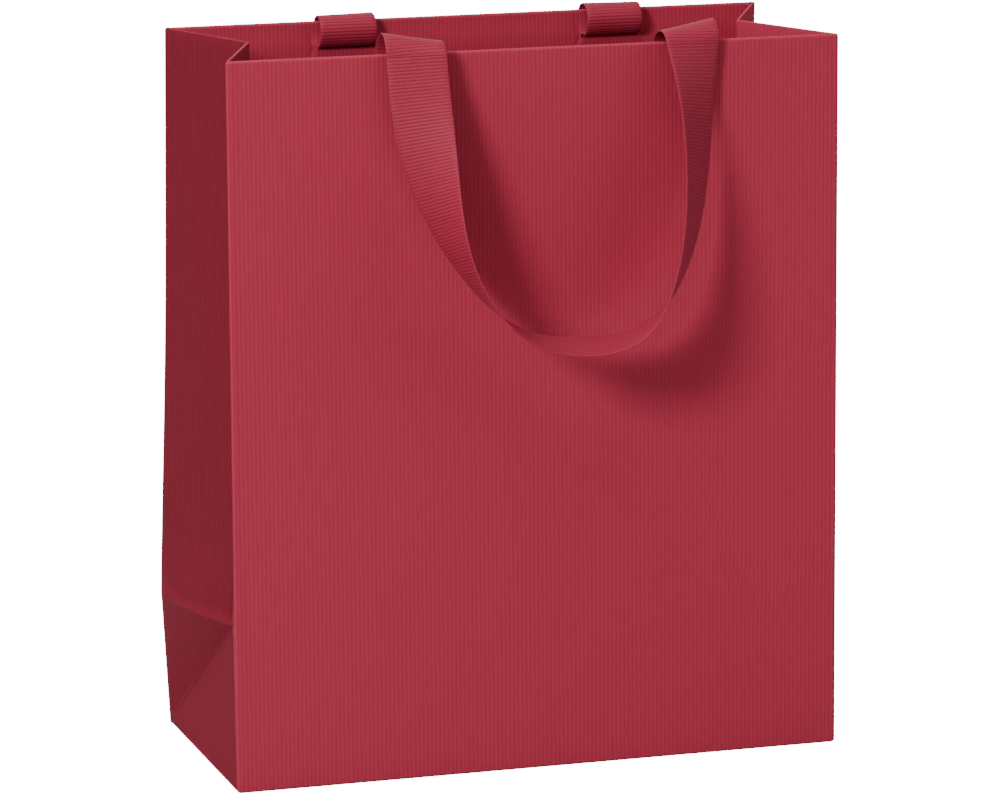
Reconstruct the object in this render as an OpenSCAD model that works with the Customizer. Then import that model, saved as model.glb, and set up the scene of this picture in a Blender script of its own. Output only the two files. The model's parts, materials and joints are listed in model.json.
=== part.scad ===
// A standing paper gift bag with a gusset in each side and two ribbon handles.
// +Z is up, +X is the bag's width to the right and -Y is its front. The origin is on the floor, in the
// middle of the base. The paper is one sheet in reality; here each flat between its creases is a piece.

/* [Bag] */
// Width of the front and back walls
bag_w = 182; // [140:1:240]
// Depth of the base, from front to back
bag_d = 80; // [70:1:100]
// Height of the rim above the floor
bag_h = 210; // [170:1:300]
// Depth at the rim, between the outer faces of the two walls
rim_d = 71; // [60:0.5:79]
// How far the left gusset's middle crease is pushed in at the rim
left_pinch = 15.2; // [10:0.2:20]
// How far the right gusset's middle crease is pushed in at the rim
right_pinch = 17.6; // [10:0.2:20]
// How far each gusset's middle crease is pushed in where the side's foot triangle ends
foot_pinch = 9.4; // [4:0.2:12]
// How far the back wall's flat-fold crease stands out
crease_out = 2.5; // [0:0.5:4]

/* [Paper and card] */
// Thickness of the ribbed paper
paper = 0.4; // [0.3:0.05:0.6]
// Thickness of the stiffening card in each rim
rim_card = 0.8; // [0.5:0.1:1.2]
// Height of the stiffening card in each rim
rim_card_h = 30; // [20:1:40]
// Depth of the paper turned in at the rim
hem_h = 35; // [25:1:45]
// Thickness of the card laid on the base
base_card_t = 1.2; // [0.8:0.1:2]

/* [Ribbon handles] */
// Width of the ribbon
ribbon_w = 17; // [10:0.5:20]
// Thickness of the ribbon
ribbon_t = 0.5; // [0.3:0.05:0.8]
// Distance between the middles of a handle's two legs
leg_spacing = 82; // [60:1:100]
// How far each handle sits to the right of the bag's middle
handle_shift = 4; // [-6:0.5:6]
// How far a hanging loop reaches, from its roll over the rim to its lowest point
loop_drop = 84; // [60:1:110]
// Angle by which the front loop stands off the vertical
front_tilt = 14; // [8:0.1:20]
// Angle by which the back loop stands off the vertical
back_tilt = 14.9; // [8:0.1:20]
// How far the lowest point of a loop swings to the right
loop_lean = 3; // [-4:0.5:4]
// Turn of the ribbon, from the rim to the lowest point of its loop
loop_twist = 98; // [90:1:110]
// Radius of the front ribbon's rolls over the rim
front_roll = 5.9; // [4.4:0.1:7]
// Radius of the back ribbon's rolls over the rim
back_roll = 4.6; // [4.4:0.1:7]
// Turn of the front ribbon where it leaves its rolls
front_turn = 12; // [0:1:14]
// Turn of the back ribbon where it leaves its rolls
back_turn = 4; // [0:1:5]
// Height of each ribbon slit below the rim
slit_drop = 7.6; // [7:0.1:8.4]

/* [Hidden] */

paper_red = [0.62, 0.16, 0.20];
ribbon_red = [0.70, 0.19, 0.24];
card_grey = [0.62, 0.60, 0.56];

crease_gap = 0.3;                            // play at a crease between two pieces that turn on it
crease_h = bag_d / 2;                        // the flat-fold crease, and the top of each foot triangle
half_w = bag_w / 2;
half_d = bag_d / 2;
rim_y = rim_d / 2;                           // outer face of each wall at the rim
front_len = norm([bag_h, half_d - rim_y]);
front_lean = atan2(half_d - rim_y, bag_h);
back_rise = bag_h - crease_h;
back_len = norm([back_rise, half_d + crease_out - rim_y]);
back_lean = atan2(half_d + crease_out - rim_y, back_rise);
strip_lean = atan2(crease_out, crease_h);

wall_inset = 4;                              // from the wall's side edge to its hem and card
gusset_inset = 1.1;                          // from a wall's outer face to the edge of a gusset
sheet_x = 0.45;                              // thickness of a gusset's sheet, measured along X
hem_y = paper + rim_card + ribbon_t;         // from a wall's outer face to the hem's hidden face
flap_reach = 55;                             // how far the front and back base flaps reach under the bag
side_flap = 39;                              // how far the side base flaps reach in
seam_w = 17;                                 // width of the glued side seam
pivot_in = 1.5;                              // a roll's centre, from the wall's outer face inwards
roll_start = hem_y + paper + 0.1;            // where a roll leaves its slit, from the outer face inwards
slit_h = 1.3;
slit_w = ribbon_w + 1;
tail_h = 32;                                 // how far a ribbon's end reaches down behind the hem

// The points of one gusset's sheet, on its outer face. side is -1 for the left gusset and 1 for the right.
function at(side, push, y, z) = [side * (half_w - push), y, z];
function foot_z() = sqrt(crease_h * crease_h - foot_pinch * foot_pinch);
function apex(side) = at(side, foot_pinch, 0, foot_z());
function crease_top(side) = at(side, side < 0 ? left_pinch : right_pinch, 0, bag_h - 0.2);
function front_foot(side) = at(side, 0, -(half_d - gusset_inset), 0);
function back_foot(side) = at(side, 0, half_d - gusset_inset, 0);
function back_crease(side) = at(side, 0, half_d + crease_out - gusset_inset, crease_h);
function front_top(side) = at(side, 0, -(rim_y - gusset_inset), bag_h - 0.2);
function back_top(side) = at(side, 0, rim_y - gusset_inset, bag_h - 0.2);
function part_way(a, b, reach) = a + (b - a) * reach / norm(b - a);

// A thin sheet, creased from its first corner to the others.
// It is as thick as sheet_x along X, from depth in towards the bag's middle.
module sheet(side, corners, depth = 0) {
    n = len(corners);
    step = -side * sheet_x;
    start = -side * depth;
    points = concat([for (p = corners) p + [start, 0, 0]],
                    [for (p = corners) p + [start + step, 0, 0]]);
    outer = [for (i = [1:n - 2]) [0, i, i + 1]];
    inner = [for (f = outer) [for (i = [2:-1:0]) f[i] + n]];
    rim = [for (i = [0:n - 1], k = [0, 1])
           let (j = (i + 1) % n) k == 0 ? [i, i + n, j + n] : [i, j + n, j]];
    polyhedron(points = points, faces = concat(outer, inner, rim));
}

// Turns a sheet's corners round where that's needed for its faces to look outwards.
function turned(side, corners) =
    side < 0 ? corners : concat([corners[0]], [for (i = [len(corners) - 1:-1:1]) corners[i]]);

module gusset_sheet(side, corners, depth = 0) {
    color(paper_red) sheet(side, turned(side, corners), depth);
}

module gusset_foot(side) {
    gusset_sheet(side, [front_foot(side), apex(side), back_foot(side)]);
}

module gusset_wedge(side) {
    gusset_sheet(side, [back_foot(side), apex(side), back_crease(side)]);
}

module gusset_front(side) {
    gusset_sheet(side, [front_foot(side), front_top(side), crease_top(side), apex(side)]);
}

module gusset_back(side) {
    gusset_sheet(side, [apex(side), crease_top(side), back_top(side), back_crease(side)]);
}

// The turned-in rim of half a gusset, which lies on the gusset's own two flats.
module front_gusset_hem(side) {
    edge = part_way(front_top(side), front_foot(side), hem_h);
    middle = part_way(crease_top(side), apex(side), hem_h);
    bend = part_way(crease_top(side), front_foot(side), hem_h);
    gusset_sheet(side, [bend, edge, front_top(side), crease_top(side), middle], sheet_x + 0.05);
}

module back_gusset_hem(side) {
    edge = part_way(back_top(side), back_crease(side), hem_h);
    middle = part_way(crease_top(side), apex(side), hem_h);
    bend = part_way(back_top(side), apex(side), hem_h);
    gusset_sheet(side, [bend, middle, crease_top(side), back_top(side), edge], sheet_x + 0.05);
}

// Puts a wall's own frame where the wall stands.
// X goes along it, Y from its outer face inwards and Z up from its crease.
module on_front() {
    translate([0, -half_d, 0]) rotate([-front_lean, 0, 0]) children();
}

module on_back() {
    mirror([0, 1, 0]) translate([0, -half_d - crease_out, crease_h]) rotate([-back_lean, 0, 0]) children();
}

module wall_panel(length, foot_gap) {
    color(paper_red)
        translate([-half_w, 0, foot_gap]) cube([bag_w, paper, length - foot_gap - paper]);
}

// The paper turned in at the rim. It covers the card, and has a slit for each end of the ribbon.
module wall_hem(length) {
    profile = [[0, length - paper], [0, length], [hem_y + paper, length], [hem_y + paper, length - hem_h],
               [hem_y, length - hem_h], [hem_y, length - paper]];
    long = bag_w - 2 * wall_inset;
    color(paper_red) difference() {
        translate([-long / 2, 0, 0]) rotate([90, 0, 90]) linear_extrude(long) polygon(profile);
        for (leg = [-1, 1])
            translate([handle_shift + leg * leg_spacing / 2 - slit_w / 2, hem_y - 0.5,
                       length - slit_drop - slit_h / 2])
                cube([slit_w, paper + 1, slit_h]);
    }
}

module wall_card(length) {
    color(card_grey)
        translate([-half_w + wall_inset, paper, length - paper - rim_card_h])
            cube([bag_w - 2 * wall_inset, rim_card, rim_card_h]);
}

// One end of a ribbon: glued behind the hem and out through its slit.
module ribbon_end(length, leg) {
    behind = paper + rim_card;
    low = length - slit_drop - ribbon_t / 2;
    high = low + ribbon_t;
    profile = [[behind, length - tail_h], [hem_y, length - tail_h], [hem_y, low],
               [roll_start - 0.2, low], [roll_start - 0.2, high], [behind, high]];
    color(ribbon_red)
        translate([handle_shift + leg * leg_spacing / 2 - ribbon_w / 2, 0, 0])
            rotate([90, 0, 90]) linear_extrude(ribbon_w) polygon(profile);
}

module seam_flap() {
    color(paper_red) translate([-half_w + 1, paper, 0.5]) cube([seam_w, paper, back_len - hem_h - 2]);
}

module back_strip() {
    color(paper_red) translate([-half_w, half_d, 0]) rotate([-strip_lean, 0, 0])
        translate([0, -paper, 0.02]) cube([bag_w, paper, crease_h / cos(strip_lean) - crease_gap]);
}

module base_flap_long(side, level) {
    y = side < 0 ? -half_d + 0.1 : half_d - 0.6 - flap_reach;
    color(paper_red) translate([-half_w + 0.8, y, level]) cube([bag_w - 1.6, flap_reach, paper]);
}

module base_flap_short(side) {
    x = side < 0 ? -half_w + 1.2 : half_w - 1.2 - side_flap;
    color(paper_red) translate([x, -half_d + 1.2, 2 * paper]) cube([side_flap, bag_d - 2.4, paper]);
}

module base_board() {
    color(card_grey) translate([-half_w + 1.5, -half_d + 1.3, 3 * paper])
        cube([bag_w - 3, bag_d - 2.6, base_card_t]);
}

// A handle's lines, in the frame of its rim, for a roll of radius r.
// Each point is [x, out from the wall, up].
roll_steps = 16;
loop_steps = 56;
quick_turn = 26;                             // turn that the right leg gains just below the rim
slow_turn = 45;                              // turn that it gains evenly on the way down
function leg_x(leg) = handle_shift + leg * leg_spacing / 2;
function roll_from(r) = 180 + acos((roll_start - pivot_in) / r);
function pivot_drop(r) = slit_drop + r * sin(roll_from(r));
function roll_turn(r, tilt, i) = roll_from(r) - (roll_from(r) - tilt - 3) * i / roll_steps;
function roll_point(r, tilt, leg, i) =
    let (turn = roll_turn(r, tilt, i))
    [leg_x(leg), -pivot_in + r * cos(turn), -pivot_drop(r) + r * sin(turn)];
function side_curve(c) = -sign(c) * pow(abs(c), 2 / 2.58) * leg_spacing / 2;
function drop_curve(s) = pow(abs(s), 2 / 2.44) * loop_drop;
function loop_point(r, tilt, i) =
    let (turn = 180 * i / loop_steps, drop = drop_curve(sin(turn)))
    [handle_shift + side_curve(cos(turn)) + loop_lean * pow(drop / loop_drop, 2),
     -pivot_in + r * cos(tilt) + drop * sin(tilt), -pivot_drop(r) + r * sin(tilt) - drop * cos(tilt)];

function unit(v) = v / norm(v);
function tangent(p, i) = unit(p[min(i + 1, len(p) - 1)] - p[max(i - 1, 0)]);
function ramp(t) = let (u = min(1, max(0, t))) u * u * (3 - 2 * u);

// Turn of the ribbon on a roll, at a share of the way over it. A wide roll's outer edge rides high at the top.
function roll_lift(r) = 8.5 * (r - 4.6);
function roll_twist(r, start, share) =
    start * ramp((share - 0.6) / 0.4) - roll_lift(r) * sin(180 * pow(share, 1.6));

// Turn of the ribbon on the loop, from start at a leg until its edges have changed places at the lowest point.
// The left leg turns soon after the rim. The right one turns a little at once, and the rest low down.
function left_twist(start, share) = start + (loop_twist - start) * (1 - exp(-6 * pow(share, 1.6)));
function right_twist(start, share) =
    start + quick_turn * (1 - exp(-18 * share)) + slow_turn * share
    + (loop_twist - start - quick_turn - slow_turn) * ramp((share - 0.55) / 0.45);
function twist(start, i) =
    2 * i < loop_steps ? left_twist(start, 2 * i / loop_steps) : right_twist(start, 2 - 2 * i / loop_steps);

// The direction across the ribbon at a point of the loop, from its outer edge to its inner one.
function across(p, start, i) =
    let (t = tangent(p, i), out = unit([0, 1, 0] - t[1] * t), inward = cross(t, out), turn = twist(start, i))
    cos(turn) * inward + sin(turn) * out;

// The same on a roll, where the ribbon turns about its own line from lying flat.
function roll_across(r, tilt, start, leg, i) =
    let (turn = roll_turn(r, tilt, i), away = [0, cos(turn), sin(turn)],
         own = roll_twist(r, start, i / roll_steps))
    cos(own) * [-leg, 0, 0] + sin(own) * away;

// Four corners of the ribbon's section, about a point, across a and along its line t.
function section(point, a, t) =
    let (w = a * ribbon_w / 2, h = unit(cross(t, a)) * ribbon_t / 2)
    [point - w - h, point + w - h, point + w + h, point - w + h];

// A ribbon along a line, with a direction across it for each of the line's points.
module ribbon(line, directions) {
    rings = [for (i = [0:len(line) - 1]) section(line[i], directions[i], tangent(line, i))];
    last = len(line) - 1;
    points = [for (r = rings, p = r) [p[0], -p[1], p[2]]];
    // Both faces are split along the same diagonal, so that they stay a thickness apart where the ribbon turns.
    sides = [for (i = [0:last - 1], k = [0:3], half = [0, 1])
             let (a = 4 * i + k, b = 4 * i + (k + 1) % 4)
             k < 2 ? (half == 0 ? [a, b, b + 4] : [a, b + 4, a + 4])
                   : (half == 0 ? [a, b, a + 4] : [b, b + 4, a + 4])];
    far = 4 * last;
    ends = [[3, 2, 1], [3, 1, 0], [far, far + 1, far + 2], [far, far + 2, far + 3]];
    color(ribbon_red) translate([0, -rim_y, bag_h]) polyhedron(points = points, faces = concat(sides, ends));
}

// The two rolls, from the slits over the rim to where the loop hangs.
module ribbon_bends(r, tilt, start) {
    for (leg = [-1, 1])
        ribbon([for (i = [0:roll_steps]) roll_point(r, tilt, leg, i)],
               [for (i = [0:roll_steps]) roll_across(r, tilt, start, leg, i)]);
}

module ribbon_loop(r, tilt, start) {
    line = [for (i = [0:loop_steps]) loop_point(r, tilt, i)];
    ribbon(line, [for (i = [0:loop_steps]) across(line, start, i)]);
}

base_board();  // base_card
base_flap_long(-1, 0);  // base_flap_front
base_flap_long(1, paper);  // base_flap_back
base_flap_short(-1);  // base_flap_left
base_flap_short(1);  // base_flap_right
back_strip();  // back_foot_strip
gusset_foot(-1);  // left_gusset_foot
gusset_foot(1);  // right_gusset_foot
gusset_wedge(-1);  // left_gusset_wedge
gusset_wedge(1);  // right_gusset_wedge
gusset_front(-1);  // left_gusset_front
gusset_front(1);  // right_gusset_front
gusset_back(-1);  // left_gusset_back
gusset_back(1);  // right_gusset_back
front_gusset_hem(-1);  // left_gusset_front_hem
front_gusset_hem(1);  // right_gusset_front_hem
back_gusset_hem(-1);  // left_gusset_back_hem
back_gusset_hem(1);  // right_gusset_back_hem
on_front() wall_panel(front_len, 0.7);  // front_panel
on_front() wall_hem(front_len);  // front_hem
on_front() wall_card(front_len);  // front_rim_card
on_front() ribbon_end(front_len, -1);  // front_ribbon_end_left
on_front() ribbon_end(front_len, 1);  // front_ribbon_end_right
on_back() wall_panel(back_len, crease_gap);  // back_panel
on_back() wall_hem(back_len);  // back_hem
on_back() wall_card(back_len);  // back_rim_card
on_back() ribbon_end(back_len, -1);  // back_ribbon_end_left
on_back() ribbon_end(back_len, 1);  // back_ribbon_end_right
on_back() seam_flap();  // side_seam_flap
ribbon_bends(front_roll, front_tilt, front_turn);  // front_ribbon_bends
mirror([0, 1, 0]) ribbon_bends(back_roll, back_tilt, back_turn);  // back_ribbon_bends
ribbon_loop(front_roll, front_tilt, front_turn);  // front_ribbon_loop
mirror([0, 1, 0]) ribbon_loop(back_roll, back_tilt, back_turn);  // back_ribbon_loop
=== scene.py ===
"""Looks of a small red paper gift bag with ribbon handles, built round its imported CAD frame.

Sizes are in millimetres until a mesh is made; MM turns them into metres. The frame's axes hold: X along the
bag's width, -Y its front, Z up. A wall has its own frame too: x along it, y from its outer face into the bag
and s up along it from its lower crease.
"""
import json
import math

import bpy
import numpy as np
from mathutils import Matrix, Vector


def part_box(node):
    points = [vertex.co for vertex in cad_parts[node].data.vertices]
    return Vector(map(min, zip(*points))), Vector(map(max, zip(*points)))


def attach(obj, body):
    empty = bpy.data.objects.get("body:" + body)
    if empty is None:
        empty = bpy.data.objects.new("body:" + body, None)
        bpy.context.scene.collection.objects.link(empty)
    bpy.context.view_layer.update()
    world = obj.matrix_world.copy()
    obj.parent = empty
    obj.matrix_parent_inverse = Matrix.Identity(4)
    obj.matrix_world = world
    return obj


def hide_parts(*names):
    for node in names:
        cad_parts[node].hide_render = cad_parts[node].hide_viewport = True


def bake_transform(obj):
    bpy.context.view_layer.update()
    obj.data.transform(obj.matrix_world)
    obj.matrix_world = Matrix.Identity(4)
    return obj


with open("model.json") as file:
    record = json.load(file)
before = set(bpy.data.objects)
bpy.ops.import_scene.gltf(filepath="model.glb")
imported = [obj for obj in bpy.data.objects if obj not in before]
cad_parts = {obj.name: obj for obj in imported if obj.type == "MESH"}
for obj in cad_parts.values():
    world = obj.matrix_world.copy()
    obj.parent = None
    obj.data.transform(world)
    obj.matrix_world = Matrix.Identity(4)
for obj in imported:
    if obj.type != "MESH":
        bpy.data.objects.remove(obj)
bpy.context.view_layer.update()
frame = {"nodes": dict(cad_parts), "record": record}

MM = 0.001
JOINTS = {j["name"]: j for j in frame["record"]["behaviour"]["joints"]}


def joint_mm(name):
    """Where a joint's axis is, in millimetres."""
    return np.array(JOINTS[name]["pos_m"]) / MM


# ---------------------------------------------------------------- sizes, from the frame where it has them
HALF_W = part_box("front_panel")[1][0] / MM
RIM_Z = round(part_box("front_rim_card")[1][2] / MM)
FRONT_FOOT = joint_mm("front_wall_lean")
BACK_CREASE = joint_mm("back_wall_lean")
HALF_D = -FRONT_FOOT[1]
CREASE_H = BACK_CREASE[2]
PIVOT_IN = 1.5                                # the roll's centre, from the wall's outer face inwards
RIM_Y = PIVOT_IN - joint_mm("front_handle_swing")[1]    # outer face of each wall at the rim
RIM_PINCH = {-1: 15.2, 1: 17.6}               # each gusset's middle crease is pushed in by this at the rim
FOOT_PINCH = 9.4                              # and by this at the top of the foot triangle
CREASE_BULGE = 1.7                            # the flat-fold crease stands out sideways at the back corner
BULGE_REACH = 12                              # how far in from the upright edges that reaches

PAPER = 0.35                                  # thickness of the paper
RIB_PITCH = 1.245                             # one paper rib to the next
RIB_DEPTH = 0.06
RIB_SAMPLES = 6
CORNER_R = 0.8                                # the folds along the bag's upright edges
CORNER_TURN = math.radians(103)
RIM_R = 0.75                                  # the fold over the rim card
HEM_H = 35.0
HEM_IN = 2.1                                  # from the wall's outer face to the hem's shown face
HEM_NARROW = 0.012                            # a hem is narrower than its wall by this share
SLIT_H = 0.9
SLIT_PLAY = 0.2                               # a slit reaches past each edge of its ribbon by this
FOLD_PLAY = 0.12                              # the back wall starts this far above the flat-fold crease
FACE_ROWS = 32
HEM_ROWS = (13, 11, 8)                        # above the slits, just below them and down the rest
FACE_WEAR = 0.3                               # wear at the top of a wall's face, against 1 on the rim's fold
WEAR_REACH = 0.35                             # how far down the face that wear fades
GUSSET_RIM_R = 0.45
GUSSET_ROWS = 40
GUSSET_BOW = 0.7                              # the paper of a gusset half bows out by this in its middle
FLAT_ROWS = 14                                # rows in each flat of a side below the flat-fold creases
FOLD_BOW = 2.6                                # the flat-fold crease bows out by this in its middle
UPRIGHT_WEAR = 0.3                            # paleness of the upright edges, against 1 along the rim
UPRIGHT_FADE = 0.9                            # how far from the upright edges that fades
SEAM_GAP = 0.45                               # from the back wall's outer face to the seam's paper

RIBBON_W = 17.0
RIBBON_T = 0.42
RIBBON_PITCH = 0.97                           # one grosgrain rib to the next
RIBBON_RIB = 0.11
RIBBON_SAMPLES = 6
LEG_SPACING = 82.0
HANDLE_SHIFT = 4.0
ROLL_R = {"front": 5.9, "back": 4.6}          # radius of the rolls in which each ribbon passes over its rim
ROLL_LIFT = {"front": math.radians(11), "back": 0.0}    # its outer edge rides high on a roll
SLIT_IN = 0.7                                 # the slit, from the roll's centre towards the inside
SLIT_DROP = 7.6
LOOP_DROP = 84.0
LOOP_TILT = {"front": math.radians(14), "back": math.radians(14.9)}
LOOP_LEAN = 3.0
LOOP_ROUND_ACROSS = 2.58                      # how square the loop is: 2 would be an ellipse
LOOP_ROUND_DOWN = 2.44
START_TWIST = {"front": 12, "back": 4}        # turn of each ribbon where it leaves its rolls, in degrees
QUICK_TWIST = 26                              # turn that a right leg gains just below the rim
SLOW_TWIST = 45                               # turn that it gains evenly on the way down
LOOP_TWIST = 98                               # turn at the lowest point
LEFT_RATE, QUICK_RATE = 6, 18                 # how soon a left leg turns, and a right leg's quick part
END_IN = 1.45                                 # the glued ends, from the wall's outer face inwards
END_DROP = 31.5                               # from the rim down to their lower edge


# ---------------------------------------------------------------- small helpers
def smooth(t):
    """0 before 0, 1 after 1 and an even ramp between."""
    t = np.clip(t, 0.0, 1.0)
    return t * t * (3 - 2 * t)


def unit(v):
    """Vectors scaled to length 1 along the last axis."""
    return v / np.maximum(np.linalg.norm(v, axis=-1, keepdims=True), 1e-12)


def rib(distance):
    """Height of the paper's rounded ribs, from 0 in a groove to 1 on a crest."""
    return 0.5 + 0.5 * np.cos(2 * np.pi * distance / RIB_PITCH)


def link(obj):
    bpy.context.scene.collection.objects.link(obj)
    return obj


def mesh_object(name, points, faces, marks=None):
    """A smooth-shaded mesh from points in millimetres, with float marks on its points for the materials."""
    mesh = bpy.data.meshes.new(name)
    mesh.from_pydata((np.asarray(points) * MM).tolist(), [], faces)
    for mark, values in (marks or {}).items():
        attribute = mesh.attributes.new(mark, "FLOAT", "POINT")
        attribute.data.foreach_set("value", np.asarray(values, dtype=np.float32))
    mesh.polygons.foreach_set("use_smooth", [True] * len(mesh.polygons))
    mesh.update()
    return link(bpy.data.objects.new(name, mesh))


def grid_faces(columns, mask, first, flip):
    """Quads of a grid of points, those that mask keeps."""
    r, c = np.nonzero(mask)
    a = first + r * columns + c
    quads = np.stack([a, a + 1, a + columns + 1, a + columns], axis=1)
    return quads[:, ::-1] if flip else quads


def edge_faces(mask, columns, layer):
    """Quads that close a two-layer grid along every edge of what mask keeps."""
    rows, cols = mask.shape
    pad = np.zeros((rows + 2, cols + 2), bool)
    pad[1:-1, 1:-1] = mask
    inner = pad[1:-1, 1:-1]
    out = []
    for dr, dc, first, second in ((-1, 0, (0, 1), (0, 0)), (1, 0, (1, 0), (1, 1)),
                                  (0, -1, (0, 0), (1, 0)), (0, 1, (1, 1), (0, 1))):
        open_side = inner & ~pad[1 + dr:1 + dr + rows, 1 + dc:1 + dc + cols]
        r, c = np.nonzero(open_side)
        a = (r + first[0]) * columns + c + first[1]
        b = (r + second[0]) * columns + c + second[1]
        out.append(np.stack([a, b, b + layer, a + layer], axis=1))
    return np.concatenate(out)


def sheet_mesh(name, outer, normal, thickness, marks, mask=None):
    """A closed sheet: outer is its rows x columns x 3 outer face, and normal points out of that face."""
    rows, columns = outer.shape[:2]
    if mask is None:
        mask = np.ones((rows - 1, columns - 1), bool)
    inner = outer - normal * thickness
    points = np.concatenate([outer.reshape(-1, 3), inner.reshape(-1, 3)])
    layer = rows * columns
    row, column = rows // 2, columns // 2
    across = outer[row, column + 1] - outer[row, column]
    up = outer[row + 1, column] - outer[row, column]
    flip = np.dot(np.cross(across, up), normal[row, column]) < 0
    quads = [grid_faces(columns, mask, 0, flip), grid_faces(columns, mask, layer, not flip)]
    rim = edge_faces(mask, columns, layer)
    quads.append(rim if flip else rim[:, ::-1])
    faces = np.concatenate(quads)
    used = np.unique(faces)
    renumber = np.zeros(len(points), int)
    renumber[used] = np.arange(len(used))
    both = {k: np.concatenate([v.ravel(), v.ravel()])[used] for k, v in marks.items()}
    return mesh_object(name, points[used], renumber[faces].tolist(), both)


def ribbed_sheet(name, grid, normal, across, worn):
    """A closed sheet of ribbed paper from a smooth grid, with how far across the sheet each column is."""
    height = rib(across)
    points = grid + normal * ((height - 0.5) * RIB_DEPTH)[None, :, None]
    crest = np.broadcast_to(height[None, :], grid.shape[:2])
    return sheet_mesh(name, points, normal, PAPER, {"crest": crest, "wear": worn})


def rib_columns(length, samples=RIB_SAMPLES):
    """Distances across a sheet, enough of them to show every rib."""
    return np.linspace(0, length, int(round(length / RIB_PITCH * samples)) + 1)


# ---------------------------------------------------------------- the two walls
class Wall:
    """One of the two card-stiffened walls. side is -1 for the front and 1 for the back."""

    def __init__(self, side, foot_y, foot_z):
        self.side, self.foot_y, self.foot_z = side, foot_y, foot_z
        self.lean = math.atan2(foot_y - RIM_Y, RIM_Z - foot_z)
        self.length = math.hypot(foot_y - RIM_Y, RIM_Z - foot_z)

    def place(self, x, y, s):
        """Points of the wall's own frame, in the shared frame."""
        into = y * math.cos(self.lean) + s * math.sin(self.lean)
        up = s * math.cos(self.lean) - y * math.sin(self.lean)
        return np.stack(np.broadcast_arrays(x, self.side * (self.foot_y - into), self.foot_z + up), axis=-1)

    def turn(self, x, y, s):
        """Directions of the wall's own frame, in the shared frame."""
        into = y * math.cos(self.lean) + s * math.sin(self.lean)
        up = s * math.cos(self.lean) - y * math.sin(self.lean)
        return np.stack(np.broadcast_arrays(x, -self.side * into, up), axis=-1)


FRONT = Wall(-1, HALF_D, 0.0)
BACK = Wall(1, BACK_CREASE[1], CREASE_H)


def crease_bulge(v):
    """How far the back upright edges stand out sideways; v is 0 at the flat-fold crease and 1 at the rim."""
    return CREASE_BULGE * (1 - smooth(v / 0.7)) * (1 - v)


def wall_columns():
    """Distances across a wall from its middle, out round both upright edges."""
    reach = HALF_W - CORNER_R + CORNER_R * CORNER_TURN
    return rib_columns(2 * reach) - reach


def near_side(x):
    """0 across most of a wall, up to 1 at its upright edges."""
    return smooth((np.abs(x) - HALF_W + BULGE_REACH) / BULGE_REACH)


def near_upright(across):
    """1 at the upright edges, fading away within a few millimetres."""
    return np.exp(-np.maximum(HALF_W - np.abs(across), 0) / UPRIGHT_FADE)


def corner_line(across):
    """Across a wall: x, depth and outward direction of its outer face, which turns at both upright edges."""
    flat = HALF_W - CORNER_R
    turn = np.maximum(np.abs(across) - flat, 0) / CORNER_R
    sign = np.sign(across)
    x = np.clip(across, -flat, flat) + sign * CORNER_R * np.sin(turn)
    return x, CORNER_R * (1 - np.cos(turn)), sign * np.sin(turn), -np.cos(turn)


def arc(steps, begin, end):
    return np.radians(np.linspace(begin, end, steps + 1))


def foot_arc():
    """The outer face's fold at the floor: depth, height and the outward direction's two parts."""
    a = arc(5, -80, 0)
    return CORNER_R * (1 - np.cos(a)), CORNER_R * (1 + np.sin(a)), -np.cos(a), np.sin(a)


def wall_path(length, foot_roll):
    """Up a wall's outer face, over its rim and down the hem: depth, height, outward direction and wear."""
    parts = []
    start = FOLD_PLAY
    if foot_roll:
        y, s, out_y, out_s = foot_arc()
        parts.append(np.stack([y, s, out_y, out_s, np.ones_like(s)], axis=1)[:-1])
        start = CORNER_R
    below = length - RIM_R - start
    near_rim = np.array([2, 1, 0.5, 0.2, 0])
    s = start + np.concatenate([np.linspace(0, below - 2 * near_rim[0], FACE_ROWS), below - near_rim])
    worn = FACE_WEAR * np.exp((s - s[-1]) / WEAR_REACH)
    parts.append(np.stack([0 * s, s, -np.ones_like(s), 0 * s, worn], axis=1))
    a = arc(8, 0, 180)
    worn = np.where(a <= np.pi / 2, FACE_WEAR + (1 - FACE_WEAR) * np.sin(a), np.sin(a))
    over = [RIM_R * (1 - np.cos(a)), length - RIM_R + RIM_R * np.sin(a), -np.cos(a), np.sin(a), worn]
    parts.append(np.stack(over, axis=1)[1:])
    down = hem_rows()
    depth = 2 * RIM_R + (HEM_IN - 2 * RIM_R) * smooth(down / SLIT_DROP)
    hem = [depth, length - RIM_R - down, np.ones_like(down), 0 * down, 0 * down]
    parts.append(np.stack(hem, axis=1)[1:])
    return np.concatenate(parts)


def hem_rows():
    """Distances down the hem from under the fold, close together round the ribbon slits."""
    slit = SLIT_DROP - RIM_R
    above = np.linspace(0, slit - SLIT_H / 2, HEM_ROWS[0])
    below = np.linspace(slit + SLIT_H / 2, slit + 7, HEM_ROWS[1])
    rest = np.linspace(below[-1], HEM_H - RIM_R, HEM_ROWS[2])[1:]
    return np.concatenate([above, below, rest])


def legs():
    return [HANDLE_SHIFT - LEG_SPACING / 2, HANDLE_SHIFT + LEG_SPACING / 2]


LIP_ABOVE, LIP_ABOVE_FADE = 0.55, 2.4         # how far the hem stands off above a slit, and its fade
LIP_BELOW, LIP_BELOW_FADE = 0.25, 3.0         # and below it
LIP_REACH = 2.2                               # how far past the ribbon's edge it stands off
PUCKER, PUCKER_FADE = 0.28, 4.0               # depth of the slanting pucker at a slit's end, and its fade
PUCKER_START, PUCKER_SLANT, PUCKER_W = 0.8, 0.45, 0.7


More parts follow.
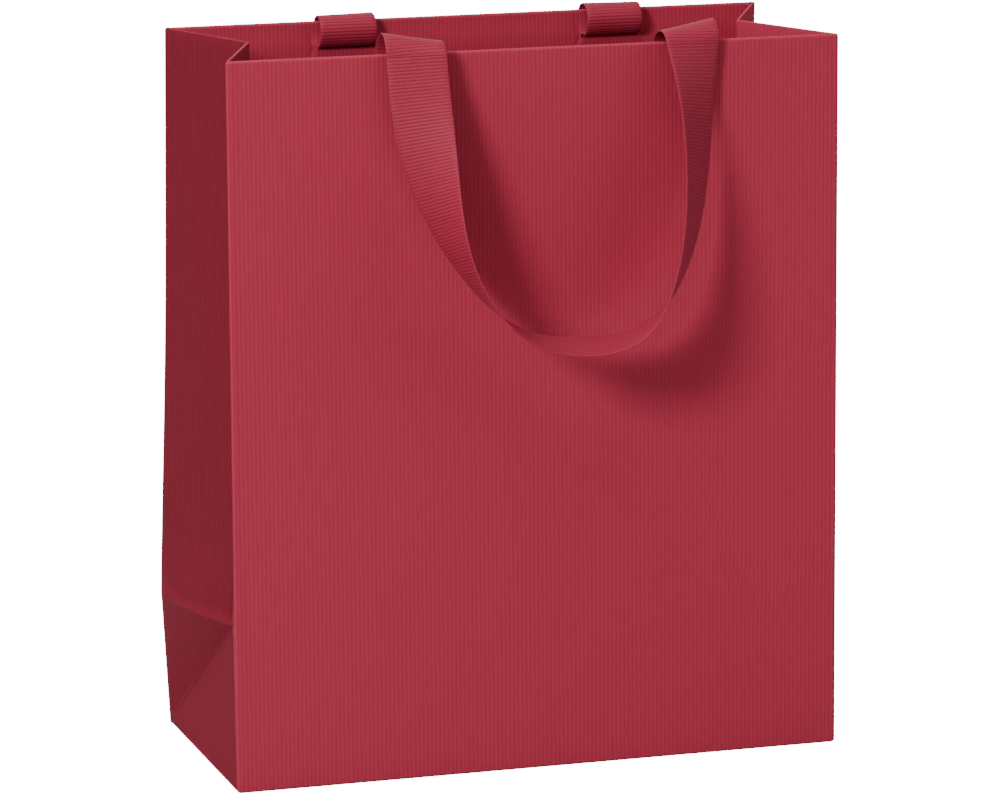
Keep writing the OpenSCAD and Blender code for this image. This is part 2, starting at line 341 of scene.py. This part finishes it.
def slit_pucker(aside, drop):
    """How far the hem stands off by a slit: aside is out from the ribbon's edge, drop down from the slit."""
    above = LIP_ABOVE * np.exp(-(drop / LIP_ABOVE_FADE) ** 2)
    below = LIP_BELOW * np.exp(-(drop / LIP_BELOW_FADE) ** 2)
    lip = smooth(1 - aside / LIP_REACH) * np.where(drop < 0, above, below)[:, None]
    crease = np.exp(-((aside - PUCKER_START - PUCKER_SLANT * np.abs(drop)[:, None]) / PUCKER_W) ** 2)
    return lip - PUCKER * crease * np.exp(-(drop / PUCKER_FADE) ** 2)[:, None]


def wall_sheet(name, wall, foot_roll):
    """A wall's paper in one sheet, with its hem and the two slits in the hem."""
    across = wall_columns()
    x, depth, nx, ny = corner_line(across)
    y, s, py, ps, wear = wall_path(wall.length, foot_roll).T
    hem = y > 2 * RIM_R - 0.01
    ribs = (rib(across) - 0.5) * RIB_DEPTH
    flat = np.abs(across) < HALF_W - CORNER_R
    keep = np.ones((len(y) - 1, len(x) - 1), bool)
    keep[np.ix_(y[1:] > RIM_R, ~(flat[1:] & flat[:-1]))] = False
    narrow = 1 - HEM_NARROW * smooth((y - RIM_R) / RIM_R)
    px = x[None, :] * narrow[:, None]
    if not foot_roll:
        bulge = np.where(hem, 0, crease_bulge(s / wall.length))
        px = px + (near_side(x) * np.sign(x))[None, :] * bulge[:, None]
    # Where the outer face turns at an upright edge, the fold turns with it.
    pushed_x = px - nx[None, :] * np.where(flat[None, :], 0.0, y[:, None])
    pushed_y = depth[None, :] + np.where(flat[None, :], y[:, None], -ny[None, :] * y[:, None])
    straight = np.abs(py)[:, None] > 0.999
    out_y = np.where(straight, np.sign(py)[:, None] * -ny[None, :], py[:, None])
    out_x = np.where(py[:, None] < -0.999, nx[None, :], 0.0)
    # The hem stands off a little where the ribbon comes through it.
    drop = wall.length - SLIT_DROP - s
    at_slit = (np.abs(drop[:-1] + drop[1:]) / 2 < SLIT_H / 2 - 0.01) & hem[:-1]
    middle = (px[0, :-1] + px[0, 1:]) / 2
    stand = np.zeros_like(px)
    for leg in legs():
        stand += slit_pucker(np.abs(px - leg) - RIBBON_W / 2, drop)
        keep[np.ix_(at_slit, np.abs(middle - leg) < RIBBON_W / 2 + SLIT_PLAY)] = False
    lift = ribs[None, :] + stand * hem[:, None]
    out_s = np.broadcast_to(ps[:, None], px.shape)
    points = wall.place(pushed_x + out_x * ribs[None, :], pushed_y + out_y * lift,
                        s[:, None] + out_s * ribs[None, :])
    normal = unit(wall.turn(out_x, out_y, out_s))
    crest = np.broadcast_to(rib(across)[None, :], px.shape)
    upright = UPRIGHT_WEAR * near_upright(across)
    worn = np.maximum(wear[:, None], np.where(hem[:, None], 0, upright[None, :]))
    return sheet_mesh(name, points, normal, PAPER, {"crest": crest, "wear": worn}, keep)


# ---------------------------------------------------------------- the sides
def side_points(side):
    """The corners of one gusset, on its outer face."""
    corner_x = HALF_W - CORNER_R + CORNER_R * math.sin(CORNER_TURN)
    tuck = CORNER_R * (1 - math.cos(CORNER_TURN)) - 0.05

    def at(x, y, z):
        return np.array([side * x, y, z])

    front_foot, front_top = FRONT.place(0, tuck, 0.0), FRONT.place(0, tuck, FRONT.length - GUSSET_RIM_R)
    back_crease, back_top = BACK.place(0, tuck, 0.0), BACK.place(0, tuck, BACK.length - GUSSET_RIM_R)
    return {
        "front_foot": at(corner_x, front_foot[1], CORNER_R * 0.6),
        "front_top": at(corner_x, front_top[1], front_top[2]),
        "crease_top": at(HALF_W - RIM_PINCH[side], 0.0, front_top[2]),
        "apex": at(HALF_W - FOOT_PINCH, 0.0, math.sqrt(CREASE_H ** 2 - FOOT_PINCH ** 2)),
        "back_top": at(corner_x, back_top[1], back_top[2]),
        "back_crease": at(corner_x + CREASE_BULGE, back_crease[1], CREASE_H),
        "back_foot": at(corner_x, HALF_D - tuck, CORNER_R * 0.6)}


def between(a, b, t):
    """Points from a to b, as t goes from 0 to 1."""
    t = np.asarray(t)[..., None]
    return a + (b - a) * t


def patch(bottom, top, rows):
    """Rows of points from a bottom line to a top line."""
    v = np.linspace(0, 1, rows)[:, None, None]
    return bottom[None] * (1 - v) + top[None] * v


def outward(points, side):
    """Unit normals of a grid of points, out of the bag."""
    along = np.gradient(points, axis=1)
    up = np.gradient(points, axis=0)
    normal = np.cross(along, up)
    thin = np.linalg.norm(normal, axis=-1, keepdims=True) < 1e-9
    normal = unit(np.where(thin, np.array([side, 0, 0]), normal))
    return np.where((normal[..., :1] * side) < 0, -normal, normal)


def fold_in(points, normal, radius, reach):
    """A grid with a folded rim and a turned-in hem above it: its points, outward normals and wear."""
    up = unit(points[-1] - points[-2])
    out = normal[-1]
    rows, normals, wear = [points], [normal], [np.zeros(len(points))]
    for a in arc(6, 0, 180)[1:]:
        rows.append((points[-1] + up * radius * math.sin(a) - out * radius * (1 - math.cos(a)))[None])
        normals.append((out * math.cos(a) + up * math.sin(a))[None])
        wear.append([math.sin(a)])
    spacing = np.linalg.norm(points[-1] - points[-2], axis=-1).mean()
    for step in np.arange(1, int(reach / spacing) + 1):
        rows.append((points[-1 - step] - out * 2 * radius)[None])
        normals.append(-normal[-1 - step][None])
        wear.append([0.0])
    return np.concatenate(rows), np.concatenate(normals), np.concatenate(wear)


def fold_bow(u):
    """How far the flat-fold crease bows out sideways between the centre crease and the back corner."""
    return FOLD_BOW * np.sin(np.pi * u) ** 0.7


def gusset_bow(u, v, front):
    """How far a gusset half bows out. A back half also bows and bulges at its flat-fold crease."""
    bow = GUSSET_BOW * np.sin(np.pi * u) * np.sin(np.pi * v) ** 0.8
    if not front:
        bow = bow + fold_bow(u) * (1 - smooth(v / 0.12))
        bow = bow + u * (crease_bulge(v) - CREASE_BULGE * (1 - v))
    return bow


def gusset_half(name, side, front):
    """Half a gusset above its foot: from the centre crease to a wall, up to the rim and down its hem."""
    p = side_points(side)
    wall_low, wall_top = (p["front_foot"], p["front_top"]) if front else (p["back_crease"], p["back_top"])
    width = np.linalg.norm(p["crease_top"] - wall_top)
    across = rib_columns(width)
    u = across / width
    grid = patch(between(p["apex"], wall_low, u), between(p["crease_top"], wall_top, u), GUSSET_ROWS)
    grid[..., 0] += side * gusset_bow(u[None, :], np.linspace(0, 1, GUSSET_ROWS)[:, None], front)
    sheet, normals, wear = fold_in(grid, outward(grid, side), GUSSET_RIM_R, HEM_H)
    # Both halves' faces meet along the centre crease, so their shared edge is mitred.
    mirror = normals[:, 0] * [1, -1, 1]
    miter = (normals[:, 0] + mirror) / (1 + (normals[:, 0] * mirror).sum(-1, keepdims=True))
    ribs = (rib(across) - 0.5) * RIB_DEPTH
    points = sheet + normals * ribs[None, :, None]
    points[:, 0] = sheet[:, 0] + miter * 0.02
    points[:, 0, 1] = 0.0
    normals[:, 0] = miter
    crest = np.broadcast_to(rib(across)[None, :], points.shape[:2])
    fold = 0.4 * np.exp(-across / 0.6)
    worn = np.maximum(wear[:, None], fold[None, :])
    return sheet_mesh(name, points, normals, PAPER, {"crest": crest, "wear": worn})


def flat_piece(name, side, bottom, top, across, wear_top):
    """A flat of the side below the flat-fold creases, with upright ribs."""
    grid = patch(bottom, top, FLAT_ROWS)
    v = np.linspace(0, 1, FLAT_ROWS)[:, None]
    height = np.linalg.norm(top - bottom, axis=-1)[None, :]
    worn = wear_top * np.exp(-(1 - v) * height / 0.6)
    return ribbed_sheet(name, grid, outward(grid, side), across, worn)


def gusset_foot(name, side):
    """The triangle at the foot of a side, from corner to corner up to the centre crease."""
    p = side_points(side)
    width = p["back_foot"][1] - p["front_foot"][1]
    across = rib_columns(width)[3:-3]
    u = across / width
    bottom = between(p["front_foot"], p["back_foot"], u)
    half = np.where(u[:, None] < 0.5, between(p["front_foot"], p["apex"], u * 2),
                    between(p["apex"], p["back_foot"], u * 2 - 1))
    return flat_piece(name, side, bottom, half, across, 0.8)


def gusset_wedge(name, side):
    """The flat between the foot triangle and the back half's flat-fold crease."""
    p = side_points(side)
    width = np.linalg.norm(p["back_crease"] - p["apex"])
    across = rib_columns(width)[3:]
    u = across / width
    bottom, top = between(p["apex"], p["back_foot"], u), between(p["apex"], p["back_crease"], u)
    top[:, 0] += side * fold_bow(u)
    return flat_piece(name, side, bottom, top, across, 0.9)


# ---------------------------------------------------------------- ribbon handles
def slit_turn(radius):
    """Where the roll starts at its slit, as an angle round the roll. At 0 it faces out from the wall."""
    return 180 + math.degrees(math.acos(SLIT_IN / radius))


def pivot_drop(radius):
    return SLIT_DROP + radius * math.sin(math.radians(slit_turn(radius)))


def roll_line(where, begin, end, steps=400):
    """Part of the roll over the rim, in the rim's frame, with its angle in radians as a fourth number."""
    radius, a = ROLL_R[where], arc(steps, begin, end)
    out = -PIVOT_IN + radius * np.cos(a)
    height = -pivot_drop(radius) + radius * np.sin(a)
    return np.stack([0 * a, out, height, a], axis=1)


def roll_across(where, line, leg):
    """Across the ribbon on its roll: level at the slit, then lifted, and turned where the loop begins."""
    begin = math.radians(slit_turn(ROLL_R[where]))
    share = np.clip((begin - line[:, 3]) / (begin - LOOP_TILT[where]), 0, 1)
    turn = math.radians(START_TWIST[where]) * smooth((share - 0.6) / 0.4)
    turn = turn - ROLL_LIFT[where] * np.sin(np.pi * share ** 1.6)
    away = np.stack([0 * turn, np.cos(line[:, 3]), np.sin(line[:, 3])], axis=1)
    return np.cos(turn)[:, None] * np.array([-leg, 0, 0]) + np.sin(turn)[:, None] * away


def loop_line(where, steps=4000):
    """The hanging loop, in the rim's frame, with its share of the way from 0 to 1 as a fourth number."""
    turn = np.linspace(0, np.pi, steps + 1)
    c, s = np.cos(turn), np.abs(np.sin(turn))
    drop = s ** (2 / LOOP_ROUND_DOWN) * LOOP_DROP
    across = np.sign(c) * np.abs(c) ** (2 / LOOP_ROUND_ACROSS)
    x = HANDLE_SHIFT - across * LEG_SPACING / 2 + LOOP_LEAN * (drop / LOOP_DROP) ** 2
    radius, tilt = ROLL_R[where], LOOP_TILT[where]
    out = -PIVOT_IN + radius * math.cos(tilt) + drop * math.sin(tilt)
    height = -pivot_drop(radius) + radius * math.sin(tilt) - drop * math.cos(tilt)
    return np.stack([x, out, height, turn / np.pi], axis=1)


def run_of(line):
    """How far along a line each of its points is."""
    return np.concatenate([[0], np.cumsum(np.linalg.norm(np.diff(line[:, :3], axis=0), axis=1))])


def even(line, step):
    """The same line, with its points a step apart."""
    run = run_of(line)
    s = np.linspace(0, run[-1], max(2, int(round(run[-1] / step)) + 1))
    return np.stack([np.interp(s, run, column) for column in line.T], axis=1), s


def loop_across(where, line):
    """Across the ribbon on its loop. The left leg turns near the rim, the right one all the way down."""
    t = unit(np.gradient(line[:, :3], axis=0))
    out = unit(np.array([0.0, 1.0, 0.0]) - t[:, 1:2] * t)
    share = 1 - np.abs(2 * line[:, 3] - 1)
    start = START_TWIST[where]
    left = start + (LOOP_TWIST - start) * (1 - np.exp(-LEFT_RATE * share ** 1.6))
    right = start + QUICK_TWIST * (1 - np.exp(-QUICK_RATE * share)) + SLOW_TWIST * share
    right = right + (LOOP_TWIST - start - QUICK_TWIST - SLOW_TWIST) * smooth((share - 0.55) / 0.45)
    turn = np.radians(np.where(line[:, 3] < 0.5, left, right))
    return np.cos(turn)[:, None] * np.cross(t, out) + np.sin(turn)[:, None] * out


def ribbon_mesh(name, stretches, flip_y):
    """Grosgrain ribbon along stretches of (line, across, start of its ribs), in the rim's frame."""
    points, faces, crest, edge = [], [], [], []
    columns = np.array([-1, -0.97, -0.8, -0.4, 0, 0.4, 0.8, 0.97, 1]) * RIBBON_W / 2
    first = 0
    for line, across in stretches:
        run, line = run_of(line), line[:, :3]
        t = unit(np.gradient(line, axis=0))
        up = unit(np.cross(t, across))
        height = np.abs(np.sin(np.pi * run / RIBBON_PITCH)) ** 0.8
        scallop = 1 + 0.006 * height
        flat = np.ones(len(columns))
        flat[[0, -1]] = 0.25
        firm = np.where(np.abs(columns) < RIBBON_W * 0.47, 1, 0.6)
        half = RIBBON_T / 2 + RIBBON_RIB * (height[:, None] - 0.6) * firm
        body = line[:, None] + across[:, None] * (columns[None, :, None] * scallop[:, None, None])
        top = body + up[:, None] * (half * flat)[..., None]
        low = body - up[:, None] * (half * flat)[..., None]
        ring = np.concatenate([top, low[:, ::-1]], axis=1)
        rows, wide = ring.shape[:2]
        index = first + np.arange(rows * wide).reshape(rows, wide)
        around = np.roll(index, -1, axis=1)
        quads = np.stack([index[:-1], around[:-1], around[1:], index[1:]], axis=-1).reshape(-1, 4)
        faces += quads.tolist() + [index[0, ::-1].tolist(), index[-1].tolist()]
        points.append(ring.reshape(-1, 3))
        crest.append(np.repeat(height, wide))
        edge.append(np.tile(np.concatenate([np.abs(columns), np.abs(columns)]) / (RIBBON_W / 2), rows))
        first += rows * wide
    p = np.concatenate(points)
    side = 1 if flip_y else -1
    placed = np.stack([p[:, 0], side * (RIM_Y + p[:, 1]), RIM_Z + p[:, 2]], axis=1)
    if flip_y:
        faces = [f[::-1] for f in faces]
    return mesh_object(name, placed, faces, {"crest": np.concatenate(crest), "edge": np.concatenate(edge)})


STEP = RIBBON_PITCH / RIBBON_SAMPLES
FIXED_TO = 190                                # the roll is fixed to the wall below this turn, in degrees


def shifted(line, x):
    return line + np.array([x, 0, 0, 0])


def end_line(where):
    """From the glued end, up behind the hem, out through the slit and round the first of the roll."""
    begin = slit_turn(ROLL_R[where])
    slit = math.radians(begin)
    hidden = np.array([[0, -END_IN, -END_DROP, slit], [0, -END_IN, -SLIT_DROP - 0.8, slit],
                       [0, -1.55, -SLIT_DROP - 0.3, slit], [0, -1.9, -SLIT_DROP, slit]])
    return np.concatenate([hidden, roll_line(where, begin, FIXED_TO)])


def ribbon_pieces(where, flip_y):
    """The ribbon's two fixed ends, its two rolls and its loop."""
    ends, rolls = [], []
    for name, leg, x in zip(("left", "right"), (-1, 1), legs()):
        line, _ = even(shifted(end_line(where), x), STEP)
        stretch = (line, roll_across(where, line, leg))
        ends.append(ribbon_mesh(f"{where}_ribbon_{name}_end", [stretch], flip_y))
        line, _ = even(shifted(roll_line(where, FIXED_TO, math.degrees(LOOP_TILT[where])), x), STEP)
        rolls.append((line, roll_across(where, line, leg)))
    roll = ribbon_mesh(f"{where}_ribbon_rolls", rolls, flip_y)
    line, run = even(loop_line(where), STEP)
    loop = ribbon_mesh(f"{where}_ribbon_hanging_loop", [(line, loop_across(where, line))], flip_y)
    return ends, roll, loop, run[-1]


# ---------------------------------------------------------------- the base
def base_sheet(name, node, along_x):
    """A base flap of ribbed paper in the place of its CAD solid."""
    low, high = (np.array(c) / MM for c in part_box(node))
    across_axis, along_axis = (1, 0) if along_x else (0, 1)
    width = high[across_axis] - low[across_axis]
    across = rib_columns(width, samples=4)
    along = np.linspace(low[along_axis], high[along_axis], 6)
    grid = np.zeros((len(along), len(across), 3))
    grid[..., across_axis] = low[across_axis] + across[None, :]
    grid[..., along_axis] = along[:, None]
    ribs = rib(across) - 1.0
    grid[..., 2] = low[2] + 0.02 - ribs[None, :] * RIB_DEPTH
    normal = np.zeros_like(grid)
    normal[..., 2] = -1.0
    crest = np.broadcast_to(rib(across)[None, :], grid.shape[:2])
    return sheet_mesh(name, grid, normal, PAPER - RIB_DEPTH, {"crest": crest, "wear": 0 * crest})


def strip_sheet(name):
    """The back wall below its flat-fold crease."""
    across = wall_columns()
    x, depth, nx, ny = corner_line(across)
    into, z, out_y, out_z = foot_arc()
    above = np.linspace(CORNER_R, CREASE_H, 12)[1:]
    into = np.concatenate([into, 0 * above])
    z = np.concatenate([z, above])
    row_y = np.concatenate([-out_y, np.ones_like(above)])
    row_z = np.concatenate([out_z, 0 * above])
    shape = (len(z), len(x))
    bulge = CREASE_BULGE * near_side(x)[None, :] * (z / CREASE_H)[:, None]
    face_y = HALF_D + (BACK_CREASE[1] - HALF_D) * (z / CREASE_H)
    grid_x = x[None, :] + np.sign(x)[None, :] * bulge
    grid_y = face_y[:, None] - depth[None, :] - into[:, None]
    grid = np.stack([grid_x, grid_y, np.broadcast_to(z[:, None], shape)], axis=-1)
    out = np.broadcast_arrays(nx[None, :], -ny[None, :] * row_y[:, None], row_z[:, None])
    worn = np.maximum(np.exp(-(CREASE_H - z) / 0.7)[:, None], near_upright(across)[None, :])
    return ribbed_sheet(name, grid, unit(np.stack(out, axis=-1)), across, worn)


def seam_sheet(name):
    """The glued side seam, inside the back wall."""
    low, high = (np.array(c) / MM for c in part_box("side_seam_flap"))
    across = rib_columns(high[0] - low[0])
    s = np.linspace(0.6, BACK.length - HEM_H - 1.5, 12)[:, None]
    grid = BACK.place(low[0] + across[None, :], SEAM_GAP + PAPER, s)
    normal = np.broadcast_to(BACK.turn(0.0, 1.0, 0.0), grid.shape)
    return ribbed_sheet(name, grid, normal, across, np.zeros(grid.shape[:2]))


# ---------------------------------------------------------------- materials
PAPER_RED = (0.41, 0.029, 0.061)
RIBBON_RED = (0.35, 0.024, 0.053)
WORN_RED = (0.66, 0.16, 0.19)
BOARD_GREY = (0.42, 0.40, 0.36)


class Nodes:
    """A material's node tree, with short calls to add and join nodes."""

    def __init__(self, name):
        self.material = bpy.data.materials.new(name)
        self.material.use_nodes = True
        self.tree = self.material.node_tree
        self.shader = self.tree.nodes["Principled BSDF"]
        self.place = self.add("ShaderNodeTexCoord").outputs["Object"]

    def add(self, kind, **settings):
        node = self.tree.nodes.new(kind)
        for key, value in settings.items():
            setattr(node, key, value)
        return node

    def set(self, node, key, value):
        if hasattr(value, "is_output"):
            self.tree.links.new(value, node.inputs[key])
        else:
            node.inputs[key].default_value = value

    def noise(self, scale, stretch=(1, 1, 1), detail=3.0, roughness=0.55):
        """Noise over the object, with its grain stretched along an axis."""
        mapping = self.add("ShaderNodeMapping")
        self.set(mapping, "Vector", self.place)
        self.set(mapping, "Scale", stretch)
        node = self.add("ShaderNodeTexNoise")
        self.set(node, "Vector", mapping.outputs["Vector"])
        self.set(node, "Scale", scale)
        self.set(node, "Detail", detail)
        self.set(node, "Roughness", roughness)
        return node.outputs["Fac"]

    def mark(self, name):
        return self.add("ShaderNodeAttribute", attribute_name=name).outputs["Fac"]

    def ramp(self, value, low, high, to_low=0.0, to_high=1.0):
        node = self.add("ShaderNodeMapRange")
        for key, number in (("Value", value), ("From Min", low), ("From Max", high),
                            ("To Min", to_low), ("To Max", to_high)):
            self.set(node, key, number)
        return node.outputs["Result"]

    def math(self, operation, a, b):
        node = self.add("ShaderNodeMath", operation=operation)
        self.set(node, 0, a)
        self.set(node, 1, b)
        return node.outputs[0]

    def mix(self, fac, a, b, blend="MIX"):
        node = self.add("ShaderNodeMix", data_type="RGBA", blend_type=blend)
        self.set(node, 0, fac)
        self.set(node, 6, a if hasattr(a, "is_output") else (*a, 1.0))
        self.set(node, 7, b if hasattr(b, "is_output") else (*b, 1.0))
        return node.outputs[2]

    def bump(self, height, distance, strength=1.0, under=None):
        node = self.add("ShaderNodeBump")
        self.set(node, "Height", height)
        self.set(node, "Distance", distance)
        self.set(node, "Strength", strength)
        if under is not None:
            self.set(node, "Normal", under)
        return node.outputs["Normal"]


def tone(colour, factor):
    return tuple(min(1.0, c * factor) for c in colour)


def paper_material():
    """Ribbed kraft: fine fibres along the ribs, painted shade in the grooves and paler where it is folded.
    """
    n = Nodes("ribbed_paper")
    fibres = n.noise(1500, (1, 1, 0.12), 4.0, 0.6)
    blotches = n.noise(45, (1, 1, 0.7), 3.0)
    specks = n.noise(5200, (1, 1, 0.5), 2.0)
    colour = n.mix(n.ramp(fibres, 0.3, 0.7), tone(PAPER_RED, 0.95), tone(PAPER_RED, 1.05))
    colour = n.mix(n.ramp(blotches, 0.35, 0.65, 0.0, 0.3), colour, tone(PAPER_RED, 0.95))
    # Painted shade: the paper is drawn darker towards the groove between each pair of ribs.
    colour = n.mix(n.ramp(n.mark("crest"), 0.0, 0.75, 0.38, 0.0), colour, tone(PAPER_RED, 0.62))
    folded = n.ramp(n.mark("wear"), 0.25, 1.0, 0.0, 0.14)
    patchy = n.ramp(specks, 0.3, 0.62, 0.35, 1.0)
    colour = n.mix(n.math("MULTIPLY", folded, patchy), colour, WORN_RED)
    n.set(n.shader, "Base Color", colour)
    n.set(n.shader, "Roughness", n.ramp(fibres, 0.2, 0.8, 0.62, 0.80))
    n.set(n.shader, "Specular IOR Level", 0.15)
    coarse = n.bump(fibres, 0.00006, 0.6)
    n.set(n.shader, "Normal", n.bump(specks, 0.00003, 0.5, coarse))
    return n.material


def ribbon_material():
    """Grosgrain: satin threads across the ribbon, painted shade between the ribs so each rib shows brighter
    on its crest, with a firm selvedge.
    """
    n = Nodes("grosgrain_ribbon")
    threads = n.noise(3800, (0.25, 1, 1), 2.0)
    shade = n.noise(90, (1, 1, 1), 2.0)
    colour = n.mix(n.ramp(threads, 0.3, 0.7), tone(RIBBON_RED, 0.86), tone(RIBBON_RED, 1.12))
    colour = n.mix(n.ramp(shade, 0.3, 0.7, 0.0, 0.3), colour, tone(RIBBON_RED, 0.9))
    # Painted shade: the ribbon is drawn darker towards the grooves between its ribs.
    colour = n.mix(n.ramp(n.mark("crest"), 0.1, 0.9, 0.62, 0.0), colour, tone(RIBBON_RED, 0.42))
    colour = n.mix(n.ramp(n.mark("edge"), 0.93, 1.0, 0.0, 0.3), colour, tone(RIBBON_RED, 1.08))
    n.set(n.shader, "Base Color", colour)
    n.set(n.shader, "Roughness", n.ramp(threads, 0.2, 0.8, 0.50, 0.66))
    n.set(n.shader, "Specular IOR Level", 0.16)
    n.set(n.shader, "Sheen Weight", 0.02)
    n.set(n.shader, "Sheen Roughness", 0.4)
    n.set(n.shader, "Sheen Tint", (1.0, 0.6, 0.62, 1.0))
    n.set(n.shader, "Normal", n.bump(threads, 0.00004, 0.7))
    return n.material


def board_material():
    """Grey pasteboard, with flecks of recycled fibre."""
    n = Nodes("grey_board")
    fibre = n.noise(700, (1, 0.4, 1), 4.0)
    flecks = n.noise(1900, (1, 1, 1), 2.0)
    colour = n.mix(n.ramp(fibre, 0.3, 0.7), tone(BOARD_GREY, 0.9), tone(BOARD_GREY, 1.08))
    colour = n.mix(n.ramp(flecks, 0.63, 0.70, 0.0, 0.6), colour, tone(BOARD_GREY, 0.55))
    n.set(n.shader, "Base Color", colour)
    n.set(n.shader, "Roughness", n.ramp(fibre, 0.2, 0.8, 0.82, 0.95))
    n.set(n.shader, "Specular IOR Level", 0.2)
    n.set(n.shader, "Normal", n.bump(fibre, 0.00005, 0.6))
    return n.material


def put_material(obj, material):
    obj.data.materials.clear()
    obj.data.materials.append(material)


# ---------------------------------------------------------------- camera, light and floor
def aim(obj, place, target):
    obj.location = place
    obj.rotation_euler = (Vector(target) - Vector(place)).to_track_quat("-Z", "Y").to_euler()


CAMERA_PLACE = Vector((-0.4627, -1.4673, 0.4323))
CAMERA_TURN = math.radians(17.5)              # to the right of straight ahead
CAMERA_DIP = math.radians(12.16)
CAMERA_LENS = 193.3
LIGHT_TARGET = Vector((0, 0, 0.11))
FLOOR_REACH = 12.0
FLOOR_GLOW = 16.0


def camera():
    data = bpy.data.cameras.new("camera")
    data.lens, data.sensor_width = CAMERA_LENS, 36.0
    data.clip_end = 20.0
    obj = link(bpy.data.objects.new("camera", data))
    level = math.cos(CAMERA_DIP)
    ahead = Vector((math.sin(CAMERA_TURN) * level, math.cos(CAMERA_TURN) * level, -math.sin(CAMERA_DIP)))
    aim(obj, CAMERA_PLACE, CAMERA_PLACE + ahead)
    bpy.context.scene.camera = obj


def area_light(name, azimuth, elevation, away, size, power):
    """A square area light. Azimuth 0 is straight in front of the bag and 90 is on its right."""
    data = bpy.data.lights.new(name, "AREA")
    data.energy, data.size = power, size
    a, e = math.radians(azimuth), math.radians(elevation)
    way = Vector((math.sin(a) * math.cos(e), -math.cos(a) * math.cos(e), math.sin(e)))
    obj = link(bpy.data.objects.new(name, data))
    aim(obj, LIGHT_TARGET + away * way, LIGHT_TARGET)
    return obj


def lit_floor():
    """A white floor that shows pure white, as the lit table of a product photograph does."""
    mesh = bpy.data.meshes.new("floor")
    r, z = FLOOR_REACH, -0.0002
    mesh.from_pydata([(-r, -r, z), (r, -r, z), (r, r, z), (-r, r, z)], [], [(0, 1, 2, 3)])
    floor = link(bpy.data.objects.new("floor", mesh))
    n = Nodes("lit_floor")
    n.set(n.shader, "Base Color", (0.5, 0.5, 0.5, 1.0))
    n.set(n.shader, "Roughness", 0.9)
    n.set(n.shader, "Emission Color", (1.0, 1.0, 1.0, 1.0))
    n.set(n.shader, "Emission Strength", FLOOR_GLOW)
    put_material(floor, n.material)
    return floor


def studio():
    """The lamps, the dim room light and the floor. Returns the key lamp and the floor."""
    key = area_light("key", -48, 26, 1.6, 0.34, 20)
    area_light("fill", 58, 20, 1.8, 1.4, 9)
    area_light("top", -20, 72, 1.6, 1.2, 10)
    area_light("back", 165, 32, 1.8, 1.2, 9)
    area_light("side", -102, 66, 1.6, 0.9, 13)
    world = bpy.data.worlds.new("studio")
    bpy.context.scene.world = world
    world.use_nodes = True
    world.node_tree.nodes["Background"].inputs["Color"].default_value = (1, 1, 1, 1)
    world.node_tree.nodes["Background"].inputs["Strength"].default_value = 0.06
    return key, lit_floor()


def keep_light_off(light, pieces):
    """Leaves the pieces out of a light's reach, as a card held up beside the bag would."""
    unlit = bpy.data.collections.new("turned_from_" + light.name)
    for piece in pieces:
        unlit.objects.link(piece)
    light.light_linking.receiver_collection = unlit
    for member in unlit.collection_objects:
        member.light_linking.link_state = "EXCLUDE"


# ---------------------------------------------------------------- assembly
def finish_piece(obj, material, slot, *nodes):
    """Gives a piece its material and hides the CAD nodes that it stands for. Its slot argument is not used.
    """
    put_material(obj, material)
    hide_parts(*nodes)
    return obj


def paper_piece(obj, paper, *nodes):
    return finish_piece(obj, paper, "ribbed_paper", *nodes)


def build_walls(paper):
    """Both walls, the glued seam and the back wall's foot."""
    front = paper_piece(wall_sheet("front_wall_paper", FRONT, True), paper, "front_panel", "front_hem")
    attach(front, "front_wall")
    back = paper_piece(wall_sheet("back_wall_paper", BACK, False), paper, "back_panel", "back_hem")
    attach(back, "back_wall")
    seam = paper_piece(seam_sheet("side_seam_paper"), paper, "side_seam_flap")
    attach(seam, "back_wall")
    strip = paper_piece(strip_sheet("back_foot_paper"), paper, "back_foot_strip")
    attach(strip, "base")


def build_side(name, side, paper):
    """One side's two gusset halves, foot and wedge. Returns its wedge, foot and back half."""
    half = paper_piece(gusset_half(f"{name}_gusset_front_paper", side, True), paper,
                       f"{name}_gusset_front", f"{name}_gusset_front_hem")
    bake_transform(half)
    half = paper_piece(gusset_half(f"{name}_gusset_back_paper", side, False), paper,
                       f"{name}_gusset_back", f"{name}_gusset_back_hem")
    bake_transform(half)
    foot = paper_piece(gusset_foot(f"{name}_gusset_foot_paper", side), paper, f"{name}_gusset_foot")
    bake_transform(foot)
    wedge = paper_piece(gusset_wedge(f"{name}_gusset_wedge_paper", side), paper, f"{name}_gusset_wedge")
    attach(wedge, "base")
    return [wedge, foot, half]


def build_base(paper, board):
    """The base flaps, and the colour of the base card and the rim cards."""
    for node, along_x in (("base_flap_front", False), ("base_flap_back", False),
                          ("base_flap_left", True), ("base_flap_right", True)):
        flap = paper_piece(base_sheet(f"{node}_paper", node, along_x), paper, node)
        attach(flap, "base")
    for node in ("base_card", "front_rim_card", "back_rim_card"):
        put_material(frame["nodes"][node], board)


def build_handle(where, flip_y, ribbon):
    """One ribbon handle: its ends fixed to the wall, its rolls left in place on no body and its loop
    hanging.
    """
    ends, roll, loop, length = ribbon_pieces(where, flip_y)
    for end, leg in zip(ends, ("left", "right")):
        finish_piece(end, ribbon, "ribbon", f"{where}_ribbon_end_{leg}")
        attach(end, f"{where}_wall")
    finish_piece(roll, ribbon, "ribbon", f"{where}_ribbon_bends")
    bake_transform(roll)
    finish_piece(loop, ribbon, "ribbon", f"{where}_ribbon_loop")
    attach(loop, f"{where}_handle")


def build():
    camera()
    key, floor = studio()
    paper, ribbon, board = paper_material(), ribbon_material(), board_material()
    build_walls(paper)
    left_side = build_side("left", -1, paper)
    build_side("right", 1, paper)
    build_base(paper, board)
    build_handle("front", False, ribbon)
    build_handle("back", True, ribbon)
    keep_light_off(key, left_side)
    keep_light_off(floor, [o for o in bpy.data.objects if o.type == "MESH" and o != floor])


build()
